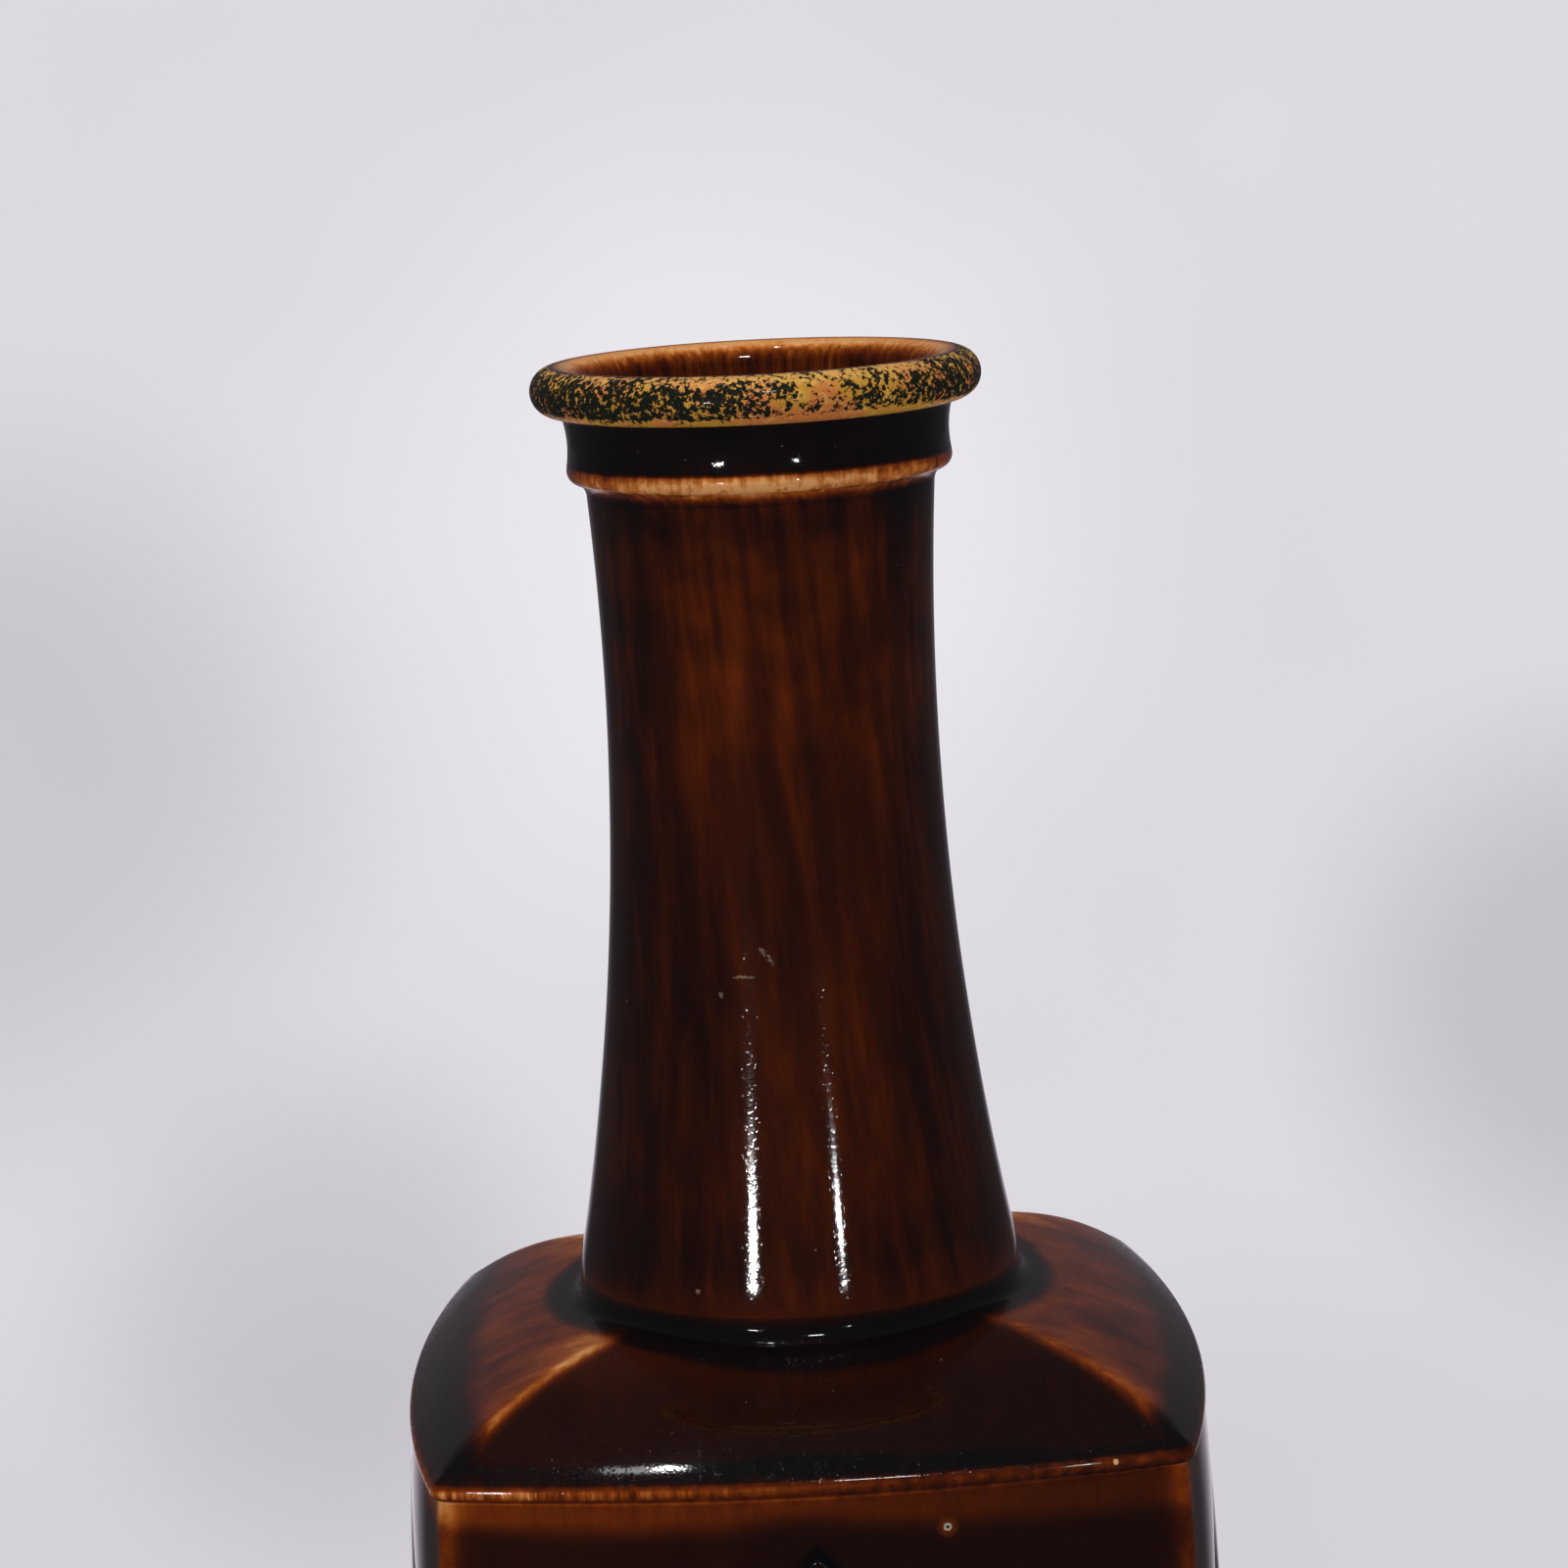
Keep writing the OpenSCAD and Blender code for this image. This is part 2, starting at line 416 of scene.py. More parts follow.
def bead_section():
    """The cove under the bead, the bead, and the collar up to the rim."""
    rows = round_rows(arc(COVE_X, COVE_Z, COVE_R, 173, 128, 6))
    shade_rows(rows, "film", (0.86, 0.62, 0.36, 0.22))
    bead = round_rows(arc(BEAD_OUT_R - BEAD_R, BEAD_Z, BEAD_R, -80, 12, 12))
    rows += shade_rows(bead, "film", (0.2, 0.14, 0.1, 0.08, 0.1, 0.22))
    heights = [BEAD_Z + 0.8, BEAD_Z + 1.1, BEAD_Z + 1.5]
    heights += levels(BEAD_Z + 2, RIM_Z - RIM_R - 0.3, 9)
    collar = round_rows([(collar_radius(z), z) for z in heights], film=1.0)
    shade_rows(collar[:3], "film", (0.3, 0.62, 1.0))
    return rows + collar


def rim_section():
    """The rolled rim: gilt outside, amber where it turns in to the mouth."""
    rim_r = RIM_R - 0.02
    rows = round_rows(arc(RIM_MID_R, RIM_Z, rim_r, -98, 86, 30), film=0.9)
    shade_rows(rows, "gilt", (0.0, 0.6, 1.0, 1.0, 1.0, 1.0, 1.0, 1.0, 1.0, 0.9, 0.3))
    inner = round_rows(arc(RIM_MID_R, RIM_Z, rim_r, 93, 176, 13))
    shade_rows(inner, "film", (0.22, 0.0, 0.05, 0.3, 0.5, 0.58))
    return rows + shade_rows(inner, "inside", (0.0, 0.4, 0.8, 1.0))


def bore_section():
    """The flare of the mouth and the bore down the neck."""
    mouth_foot = (bore_radius(MOUTH_FLARE_Z), MOUTH_FLARE_Z)
    flare = round_rows(line((MOUTH_R - 0.1, RIM_Z - 0.8), mouth_foot, 8), inside=1.0)
    shade_rows(flare, "film", (0.56, 0.62, 0.68, 0.72))
    heights = levels(MOUTH_FLARE_Z - 4, CROWN_Z - DOME_WALL + 0.6, 22)
    bore = round_rows([(bore_radius(z), z) for z in heights], film=0.7, inside=1.0)
    return flare + bore


def cavity_section():
    """The underside of the dome, the inner walls and the inner floor."""
    arc_r = DOME_R - DOME_WALL
    out = -WALL_IN - BODY_WALL
    looks = {"film": 0.7, "inside": 1.0}
    shares = [1 - 0.1 * step for step in range(1, 10)] + [0.04]
    crown_r = NECK_FOOT_R - NECK_WALL + 0.3
    rows = dome_rows(arc_r, out, crown_r, CROWN_Z, shares, corner=3.0, **looks)
    wall_top = DOME_Z + math.sqrt(arc_r**2 - (out - DOME_X) ** 2) - 1
    fillet = 3.0
    rows += square_rows(line((out, wall_top), (out, FLOOR_Z + fillet), 6), corner=4.0, **looks)
    turn = arc(out - fillet, FLOOR_Z + fillet, fillet, -20, -90, 5)
    rows += square_rows(turn, corner=3.0, **looks)
    for spread in (0.6, 0.3, 0.0):
        rows += square_rows([(out - fillet, FLOOR_Z)], spread=spread, corner=3.0, **looks)
    return rows


def section_rows():
    """The whole section in order."""
    return (
        foot_section()
        + wall_section()
        + lip_section()
        + shoulder_section()
        + neck_section()
        + bead_section()
        + rim_section()
        + bore_section()
        + cavity_section()
    )


IN_METRES = ("out", "wall_out", "radius", "height", "dome", "lift", "corner")


def section_object(rows):
    """A chain of points, one for each row, that carries the rows' values."""
    mesh = bpy.data.meshes.new("section")
    points = [(row["out"], 0, place) for place, row in enumerate(rows)]
    steps = [(place, place + 1) for place in range(len(rows) - 1)]
    mesh.from_pydata(points, steps, [])
    for name in ROW_DEFAULTS:
        layer = mesh.attributes.new(name, "FLOAT", "POINT")
        scale = 0.001 if name in IN_METRES else 1.0
        layer.data.foreach_set("value", [row[name] * scale for row in rows])
    obj = bpy.data.objects.new("section", mesh)
    bpy.context.scene.collection.objects.link(obj)
    return obj


# The trees that shape the vase and its panels


def new_tree(name, sizes):
    """An empty Geometry Nodes tree with a geometry, named sizes and a glaze as its inputs."""
    tree = bpy.data.node_groups.new(name, "GeometryNodeTree")
    face = tree.interface
    face.new_socket("Geometry", in_out="INPUT", socket_type="NodeSocketGeometry")
    for size in sizes:
        kind = "NodeSocketInt" if isinstance(sizes[size], int) else "NodeSocketFloat"
        face.new_socket(size, in_out="INPUT", socket_type=kind)
    face.new_socket("Glaze", in_out="INPUT", socket_type="NodeSocketMaterial")
    face.new_socket("Geometry", in_out="OUTPUT", socket_type="NodeSocketGeometry")
    given = tree.nodes.new("NodeGroupInput")
    inputs = {size: Sum(tree, given.outputs[size]) for size in sizes}
    return tree, given, inputs


def end_tree(tree, given, shape):
    """Smooth shading, real meshes and the glaze, then the tree's output."""
    smooth = add_node(tree, "GeometryNodeSetShadeSmooth", Geometry=shape)
    real = add_node(tree, "GeometryNodeRealizeInstances", Geometry=smooth.outputs[0])
    inputs = {"Geometry": real.outputs[0], "Material": given.outputs["Glaze"]}
    glazed = add_node(tree, "GeometryNodeSetMaterial", **inputs)
    add_node(tree, "NodeGroupOutput", Geometry=glazed.outputs[0])


def shaped(name, tree, start, sizes, glaze):
    """The plain mesh that a tree makes of a start object, as a new object at the origin."""
    work = start.modifiers.new("shape", "NODES")
    work.node_group = tree
    values = dict(sizes, Glaze=glaze)
    for item in tree.interface.items_tree:
        if item.in_out == "INPUT" and item.name in values:
            work[item.identifier] = values[item.name]
    graph = bpy.context.evaluated_depsgraph_get()
    mesh = bpy.data.meshes.new_from_object(start.evaluated_get(graph))
    start.modifiers.remove(work)
    bpy.data.objects.remove(start)
    mesh.name = name
    obj = bpy.data.objects.new(name, mesh)
    bpy.context.scene.collection.objects.link(obj)
    return obj


def grid_places(tree, across, along):
    """A flat grid of points, with each point's column and row as whole numbers."""
    grid = add_node(tree, "GeometryNodeMeshGrid", Vertices_X=across, Vertices_Y=along)
    index = Sum(tree, tree.nodes.new("GeometryNodeInputIndex").outputs[0])
    column = (index / along).work("FLOOR")
    row = index - column * along
    return grid.outputs[0], column, row


def sampled(tree, source, name, row):
    """One attribute of the section, read at a row."""
    value = add_node(tree, "GeometryNodeInputNamedAttribute", {"data_type": "FLOAT"}, Name=name)
    read = add_node(
        tree,
        "GeometryNodeSampleIndex",
        {"data_type": "FLOAT", "domain": "POINT"},
        Geometry=source,
        Value=value.outputs[0],
        Index=row,
    )
    return Sum(tree, read.outputs[0])


def vector(tree, x, y, z):
    """A vector made of three numbers."""
    return add_node(tree, "ShaderNodeCombineXYZ", X=x, Y=y, Z=z).outputs[0]


def stored(tree, shape, name, value):
    """The shape with one more number kept at each of its points."""
    keep = add_node(
        tree,
        "GeometryNodeStoreNamedAttribute",
        {"data_type": "FLOAT", "domain": "POINT"},
        Geometry=shape,
        Name=name,
        Value=value,
    )
    return keep.outputs[0]


def moved(tree, shape, place):
    """The shape with its points put at a place."""
    made = add_node(tree, "GeometryNodeSetPosition", Geometry=shape, Position=place)
    return made.outputs[0]


def outline_reach(angle, side_r, offset, corner):
    """How far a plan of bowed sides with rounded corners reaches at an angle off a side."""
    cos_angle = angle.work("COSINE")
    sin_angle = angle.work("SINE").size()
    to_side = (side_r.squared() - (offset * sin_angle).squared()).root() - offset * cos_angle

    # The arc that rounds the corner, and the angle at which it touches the side
    inner_r = side_r - corner
    corner_mid = ((inner_r.squared() * 2.0 - offset.squared()).root() - offset) / 2.0
    reach = side_r / inner_r
    touch = (corner_mid * reach).work("ARCTAN2", (corner_mid + offset) * reach - offset)
    from_hip = math.pi / 4 - angle.size()
    mid_reach = corner_mid * math.sqrt(2)
    across_arc = (mid_reach * from_hip.work("SINE")).squared()
    along_arc = (corner.squared() - across_arc).work("MAXIMUM", 0.0).root()
    to_corner = mid_reach * from_hip.work("COSINE") + along_arc
    past_touch = angle.size().work("GREATER_THAN", touch)
    return choose(past_touch, to_corner, to_side)


def vase_tree(sizes):
    """Turns the section about the four sides' axes, with rounded corners and soft hips."""
    tree, given, size = new_tree("vase_shape", sizes)
    source = given.outputs["Geometry"]
    rows = add_node(
        tree, "GeometryNodeAttributeDomainSize", {"component": "MESH"}, Geometry=source
    )
    row_count = Sum(tree, rows.outputs["Point Count"])
    per_side = size["Columns per side"]
    grid, column, row = grid_places(tree, per_side * 4.0 + 1.0, row_count)
    take = {name: sampled(tree, source, name, row) for name in ROW_DEFAULTS}

    # The side that a column is on, and its angle from that side's middle, bunched at corners
    side = (column / per_side).work("FLOOR")
    across = (column - side * per_side) / per_side * 2.0 - 1.0
    gather = size["Corner gather"]
    swing = across * (1.0 + gather) - across * across * across * gather
    angle = swing * (math.pi / 4)
    turn = angle + side * (math.pi / 2)

    # The skin runs over whichever reaches further out, the eaves or the swelling wall
    offset = size["Side offset"]
    corner = take["corner"]
    to_eaves = outline_reach(angle, size["Side radius"] + take["out"], offset, corner)
    wall_r = size["Wall radius"] + take["wall_out"]
    to_wall = outline_reach(angle, wall_r, size["Wall offset"], corner)
    square_r = to_eaves.work("SMOOTH_MAX", to_wall, size["Crease softness"])
    radius = choose(take["roundness"], take["radius"], square_r) * take["spread"]

    # The dome's height follows the inset from the nearest side, with the hips eased
    along_side = radius * angle.work("COSINE")
    beside = radius * angle.work("SINE").size()
    side_in = size["Side radius"] - ((along_side + offset).squared() + beside.squared()).root()
    next_in = size["Side radius"] - ((beside + offset).squared() + along_side.squared()).root()
    softness = size["Hip softness"] * take["roundness"].over(0.0, 0.12)
    inset = side_in.work("SMOOTH_MIN", next_in, softness)
    from_mid = (inset - size["Dome inset"]).work("MINIMUM", 0.0)
    lift = (take["dome"].squared() - from_mid.squared()).work("MAXIMUM", 0.0).root()
    on_dome = take["dome"].work("GREATER_THAN", 0.0)
    height = choose(on_dome, size["Dome height"] + lift + take["lift"], take["height"])

    # A hand-made unevenness, always inward
    spot = vector(tree, turn.work("COSINE"), turn.work("SINE"), height * 16.0)
    waves = add_node(
        tree,
        "ShaderNodeTexNoise",
        {"noise_dimensions": "4D"},
        Vector=spot,
        W=size["Seed"],
        Scale=1.7,
        Detail=1.0,
    )
    hollow = Sum(tree, waves.outputs[0]) * size["Unevenness"] * take["spread"]
    radius = (radius - hollow).work("MAXIMUM", 0.0)
    place = vector(tree, radius * turn.work("COSINE"), radius * turn.work("SINE"), height)
    shape = moved(tree, grid, place)
    for name in ("film", "gilt", "bare", "inside"):
        shape = stored(tree, shape, name, take[name])
    closed = add_node(tree, "GeometryNodeMergeByDistance", Geometry=shape, Distance=MERGE_WITHIN)
    end_tree(tree, given, closed.outputs[0])
    return tree


def panel_tree(sizes):
    """One pointed oval panel with a cushioned edge, bowed like the side, and four of them."""
    tree, given, size = new_tree("panel_shape", sizes)
    across = size["Columns"]
    along = size["Rows"]
    grid, column, row = grid_places(tree, across, along)

    # Round the panel's thickness: the first three quarters are its face, the rest its back
    share = column / (across - 1.0)
    over_face = (share / FACE_SHARE).work("MINIMUM", 1.0)
    on_back = share.over(FACE_SHARE + 0.0001, FACE_SHARE + 0.0002)
    side_share = over_face * 2.0 - 1.0
    back_share = 1.0 - (share - FACE_SHARE) * (2.0 / (1.0 - FACE_SHARE))
    swing = choose(on_back, back_share, side_share)
    bunched = swing * 1.35 - swing * swing * swing * 0.35
    length = row / (along - 1.0) * 2.0 - 1.0

    # The last column lies on the first one, and the end rows close to a point
    inner_row = length.size().under(0.9999, 1.0)
    sunk = on_back * share.under(0.9999, 1.0) * inner_row
    rise = (length * 1.3 - length * length * length * 0.3) * (size["Half height"] + size["Tuck"])

    # Half width of the oval, a little past its outline, at this height
    arc_r = size["Arc radius"]
    arc_mid = arc_r - size["Half width"]
    wide = ((arc_r + size["Tuck"]).squared() - rise.squared()).root() - arc_mid
    wide = wide.work("MAXIMUM", 0.0) * inner_row
    beside = bunched * wide
    depth = arc_r - ((beside.size() + arc_mid).squared() + rise.squared()).root()
    edge = (depth / size["Bevel"]).limited()
    proud = (1.0 - (1.0 - edge).squared()) * size["Thickness"]
    proud = proud + depth.work("MINIMUM", 0.0) * 0.6
    proud = choose(sunk, -PANEL_SUNK / 1000, proud)
    wall_r = size["Wall radius"] + proud
    outward = (wall_r.squared() - beside.squared()).root() - size["Side offset"]
    shape = moved(tree, grid, vector(tree, outward, beside, rise + size["Middle height"]))
    for name, value in (("film", 0.8), ("gilt", 0.0), ("bare", 0.0), ("inside", 0.0)):
        shape = stored(tree, shape, name, value)
    closed = add_node(tree, "GeometryNodeMergeByDistance", Geometry=shape, Distance=MERGE_WITHIN)

    # Four of them, one on each side
    four = add_node(tree, "GeometryNodeMeshLine", Count=4, Offset=(0.0, 0.0, 0.0))
    number = Sum(tree, tree.nodes.new("GeometryNodeInputIndex").outputs[0])
    placed = add_node(
        tree,
        "GeometryNodeInstanceOnPoints",
        Points=four.outputs[0],
        Instance=closed.outputs[0],
        Rotation=vector(tree, 0.0, 0.0, number * (math.pi / 2)),
    )
    end_tree(tree, given, placed.outputs[0])
    return tree


def build_vase(glaze):
    """The vase itself, as one closed skin from its foot over the rim to its inner floor."""
    sizes = {
        "Columns per side": COLUMNS_PER_SIDE,
        "Corner gather": CORNER_GATHER,
        "Side radius": SIDE_R / 1000,
        "Side offset": SIDE_OFFSET / 1000,
        "Wall radius": WALL_R / 1000,
        "Wall offset": WALL_OFFSET / 1000,
        "Crease softness": CREASE_SOFTNESS / 1000,
        "Dome inset": -DOME_X / 1000,
        "Dome height": DOME_Z / 1000,
        "Hip softness": HIP_SOFTNESS / 1000,
        "Unevenness": UNEVENNESS / 1000,
        "Seed": HAND_SEED,
    }
    start = section_object(section_rows())
    return shaped("vase", vase_tree(sizes), start, sizes, glaze)


def build_panels(glaze):
    """The pointed oval panels raised on the four sides."""
    sizes = {
        "Columns": PANEL_COLUMNS,
        "Rows": PANEL_ROWS,
        "Half width": PANEL_HALF_W / 1000,
        "Half height": PANEL_HALF_H / 1000,
        "Arc radius": PANEL_ARC_R / 1000,
        "Middle height": PANEL_MID_Z / 1000,
        "Thickness": (PANEL_H - SHORT_OF_CAD) / 1000,
        "Bevel": PANEL_CUSHION / 1000,
        "Tuck": PANEL_TUCK / 1000,
        "Wall radius": WALL_R / 1000,
        "Side offset": WALL_OFFSET / 1000,
    }
    mesh = bpy.data.meshes.new("panel_start")
    start = bpy.data.objects.new("panel_start", mesh)
    bpy.context.scene.collection.objects.link(start)
    return shaped("side_panels", panel_tree(sizes), start, sizes, glaze)


# The glaze


def new_material(name):
    """An empty node material."""
    material = bpy.data.materials.new(name)
    material.use_nodes = True
    material.node_tree.nodes.clear()
    return material, material.node_tree


def attribute(tree, name):
    """One of the surface's own numbers."""
    read = add_node(tree, "ShaderNodeAttribute", {"attribute_name": name})
    return Sum(tree, read.outputs["Fac"])


def noise(tree, where, scale, detail=2.0, roughness=0.5, warp=0.0):
    """A cloudy number between 0 and 1, mostly near its middle."""
    made = add_node(
        tree,
        "ShaderNodeTexNoise",
        Vector=where,
        Scale=scale,
        Detail=detail,
        Roughness=roughness,
        Distortion=warp,
    )
    return Sum(tree, made.outputs[0])


def stretched(tree, where, scale):
    """The same coordinates with another scale along each axis."""
    return add_node(tree, "ShaderNodeMapping", Vector=where, Scale=scale).outputs[0]


def mixed(tree, share, first, second):
    """A blend of two colours, as a socket."""
    made = add_node(tree, "ShaderNodeMix", {"data_type": "RGBA"})
    feed(tree, made.inputs["Factor"], share)
    colours = [socket for socket in made.inputs if socket.type == "RGBA"]
    feed(tree, colours[0], first)
    feed(tree, colours[1], second)
    return [socket for socket in made.outputs if socket.type == "RGBA"][0]


def linear(red, green, blue):
    """A colour as Blender's sockets take it, from values of 0 to 255 on a screen."""
    made = []
    for part in (red, green, blue):
        part = part / 255
        made.append(part / 12.92 if part <= 0.04045 else ((part + 0.055) / 1.055) ** 2.4)
    return (*made, 1.0)


def colour_ramp(tree, share, stops):
    """Colours along a number from 0 to 1. Each stop is a place and a colour."""
    made = add_node(tree, "ShaderNodeValToRGB", Fac=share)
    stop_list = made.color_ramp.elements
    while len(stop_list) < len(stops):
        stop_list.new(0.5)
    for element, (place, colour) in zip(stop_list, stops):
        element.position = place
        element.color = colour
    return made.outputs["Color"]


GLAZE_STOPS = (
    (0.00, linear(238, 182, 124)),
    (0.12, linear(206, 130, 64)),
    (0.26, linear(160, 84, 26)),
    (0.40, linear(122, 54, 12)),
    (0.54, linear(90, 36, 8)),
    (0.68, linear(62, 24, 8)),
    (0.82, linear(36, 15, 11)),
    (1.00, linear(15, 13, 17)),
)


def neck_glaze_and_side_shade(tree, x, y, z, cloudy):
    """How much the glaze's depth changes on the neck: flames of amber, and painted shade that
    darkens its left and right sides.
    """
    from_axis = (x.squared() + y.squared()).root()
    slanting = vector(tree, (x + z * 0.07) * 0.001, y * 0.001, z * 0.00009)
    flames = noise(tree, slanting, 300, 3.0, 0.5, warp=0.2)
    wisps = noise(tree, slanting, 700, 2.0, 0.6, warp=0.2)
    broad = noise(tree, slanting, 75, detail=1.0) - 0.5
    high = z.over(WAIST_Z - 35, WAIST_Z + 12)
    lit = flames.over(0.36, 0.84) * (0.16 + high * 0.08) + wisps.over(0.36, 0.9) * 0.06
    # Painted shade: darker towards the neck's left and right sides
    painted_side_shade = (x / from_axis).squared()
    return painted_side_shade * 0.12 + broad * 0.3 - lit - high * (0.05 + cloudy * 0.5)


def glaze_depth_and_painted_light(tree, where, x, y, z):
    """How deep the glaze lies, from 0 at its thinnest to 1 where it pooled, with painted light
    and shade mixed in.
    """
    film = attribute(tree, "film")
    inside = attribute(tree, "inside")
    outside = 1.0 - inside
    patchy = noise(tree, where, 26, detail=2.0) - 0.5
    cloudy = noise(tree, where, 110, detail=3.0) - 0.5
    mottled = noise(tree, where, 420, detail=4.0, roughness=0.6) - 0.5

    # Where each form begins and ends, and how far towards the thickly glazed side a place is
    from_axis = (x.squared() + y.squared()).root()
    on_shoulder = z.over(EAVES_Z + 0.9, EAVES_Z + 1.6) * z.under(CROWN_Z, CROWN_Z + 0.6)
    on_wall = z.over(4, 9) * z.under(EAVES_Z - 1.9, EAVES_Z - 1.2)
    on_neck = z.over(CROWN_Z + 2.5, CROWN_Z + 6) * z.under(COVE_Z + 0.4, COVE_Z + 1.4)
    on_lip = (z - EAVES_Z).near(2.0) * outside
    on_bead = (z - BEAD_Z + 0.8).near(3.0) * outside
    in_mouth = inside * z.over(RIM_Z - 5, RIM_Z - 3)
    lean = x / HALF_SIDE
    diagonal = (x.size() - y.size()).size() / math.sqrt(2)
    on_side = (x.size() - y.size()).over(-5.0, 0.4) * on_shoulder

    # Runs of glaze: down the walls and the neck, and downhill over each side of the shoulder
    runs = noise(tree, stretched(tree, where, (1.0, 1.0, 0.07)), 170, 4.0, warp=0.6) - 0.5
    fine_runs = noise(tree, stretched(tree, where, (1.0, 1.0, 0.06)), 900, 3.0, 0.6) - 0.5
    side_step = (x.size() - y.size()).over(-0.2, 0.2)
    along_eaves = choose(side_step, y, x) * 0.001
    downhill = choose(side_step, x, y) * 0.00016
    slope = vector(tree, along_eaves, downhill, side_step)
    slope_runs = noise(tree, slope, 300, 4.0, 0.6, warp=0.5) - 0.5

    # Thin over the hips and the upright corners, and beside the hips on two sides. Those two
    # side facets are also lighter all over, partly thin glaze and partly painted light.
    hip_reach = from_axis.over(45, 50) * from_axis.under(70, 79)
    hip = (diagonal / (1.5 + patchy * 2.0)).near(1.0) * hip_reach * on_shoulder
    hip = hip * (0.17 - lean * 0.13 + patchy * 0.5 + slope_runs * 0.5).limited()
    beside_hip_and_side_light = diagonal.under(1.0, 17.0) * 0.16 + 0.27
    corner = diagonal.near(2.4) * on_wall * (0.36 + patchy * 0.5 + cloudy * 0.5 + mottled * 0.5)

    # Pooled round the crease, widest in front and behind, and along the eaves
    facing = (y / from_axis).squared()
    pool_r = 40.0 + facing * 1.6 + patchy * 6.0
    pool = from_axis.under(pool_r, pool_r + 4.0 + facing * 2.0) * on_shoulder
    eaves_r = EAVES_Z + 2.2 - lean * 1.2 + on_side * 1.8 + patchy * 5.0
    eaves_in = z.under(eaves_r, eaves_r + 2.2 + on_side * 2.4) * on_shoulder
    side_runs = slope_runs * 0.45 + cloudy * 0.55 + mottled * 0.12
    # The two side facets lighter: partly thin, streaky glaze, partly painted light
    side_facet_and_painted_light = on_side * (beside_hip_and_side_light + patchy * 0.5 + side_runs) * (1.0 - eaves_in)
    front_facet = (1.0 - on_side) * on_shoulder * (0.03 + lean * 0.03 - cloudy * 0.16)
    beside_crease = diagonal.under(2, 18) * from_axis.under(48, 64) * on_shoulder
    front_facet = front_facet - beside_crease * (0.05 - lean * 0.1)
    # Darker just under the bead: partly glaze pooled below the cove, partly painted shade
    pool_and_shade_under_bead = z.over(COVE_Z - 8, COVE_Z - 2.5) * on_neck

    # A band of thin glaze under the lip, and rust-coloured mottling of the lip
    low_edge = EAVES_Z - 5.2 - lean * 1.2 + patchy * 9.0
    under_lip = z.over(low_edge - 3.4, low_edge + 1.4) * on_wall
    under_lip = under_lip * (0.31 - lean * 0.09 + patchy * 0.3 + fine_runs * 0.2)
    bright_lip = lean.under(-0.8, 0.5) * (z - EAVES_Z + 0.2).near(0.9)
    bright_lip = bright_lip * (0.22 + cloudy * 0.9 + fine_runs * 1.6 + mottled * 1.0)
    lip_rust = on_lip * (0.05 + lean * 0.07 + mottled * 0.8 + fine_runs * 0.3) - bright_lip

    # The panels: thin along the crest of the edge and pooled at its foot
    beside = x.size().work("MINIMUM", y.size())
    rise = z - PANEL_MID_Z
    from_arc = ((beside + (PANEL_ARC_R - PANEL_HALF_W)).squared() + rise.squared()).root()
    panel_in = PANEL_ARC_R - from_arc
    on_panels = outside * on_wall
    crest = (panel_in - 2.4).near(1.4) * 0.22 * on_panels
    moat = (panel_in + 0.4).near(1.3) * 0.16 * on_panels

    depth = film + patchy * 0.12 + cloudy * 0.08 + on_wall * (0.04 + lean * 0.04)
    streaks = runs * 0.06 + fine_runs * 0.05
    depth = depth + streaks * (1.0 - on_shoulder)
    depth = depth + on_neck * neck_glaze_and_side_shade(tree, x, y, z, cloudy)
    # Painted shade: the bead darker towards its left and right ends
    ends = (x / from_axis).squared()
    depth = depth + on_bead * (fine_runs * 0.5 + mottled * 0.7 + runs * 0.5 + ends * 0.32 - 0.1)
    depth = depth + in_mouth * (fine_runs * 0.8 + runs * 0.5)
    depth = depth + front_facet + slope_runs * (on_shoulder * 0.1)
    depth = depth - hip - corner - side_facet_and_painted_light - under_lip - crest
    depth = depth + moat + pool * 0.7 + eaves_in * 0.24 + pool_and_shade_under_bead * 0.1 + lip_rust
    return depth.limited()


def gilding(tree, where, x, z):
    """The gilt's colour: gold and orange, flecked with green-black most on one side."""
    blotch = noise(tree, where, 150, detail=3.0)
    fleck = noise(tree, where, 1150, detail=6.0, roughness=0.68)
    cluster = noise(tree, where, 260, detail=3.0) - 0.5
    warm = mixed(tree, blotch.over(0.42, 0.6), linear(198, 146, 56), linear(200, 122, 66))
    glow = noise(tree, where, 700, detail=3.0).over(0.52, 0.7)
    warm = mixed(tree, glow * 0.7, warm, linear(222, 178, 92))
    pale = z.over(RIM_Z + 1.6, RIM_Z + 3.6)
    warm = mixed(tree, pale * 0.5, warm, linear(216, 174, 104))
    along = x / RIM_MID_R
    spread = 0.03 - along * 0.08 + along.over(0.5, 1.0) * 0.15
    edge_line = z.under(RIM_Z - 3.1, RIM_Z - 2.3)
    spread = spread - edge_line * 0.16 - pale * 0.05
    dark = (fleck + (0.5 - blotch) * 0.2 + cluster * 0.3 + spread).over(0.485, 0.535)
    return mixed(tree, dark, warm, linear(28, 32, 26)), dark


# The flaws that the glaze shows, each at its place on the vase in millimetres

PINHOLE = (20.5, -65.9, 157.35)
LIP_CHIP = (47.4, -62.5, 165.3)
NECK_SPECK = (-17.0, -32.3, 187.7)
SIDE_PIT = (62.4, -46.0, 152.45)
SCRAPES = (
    ((-3.9, -28.3, 242.9), (-2.2, -28.7, 240.7), 0.2),
    ((-8.5, -28.1, 238.4), (-5.5, -28.7, 238.4), 0.14),
    ((-10.8, -27.4, 235.6), (-10.6, -27.5, 235.2), 0.16),
    ((-19.5, -24.6, 323.4), (3.6, -31.2, 323.9), 0.04),
    ((-12.4, -28.9, 322.3), (12.0, -29.0, 323.2), 0.04),
)


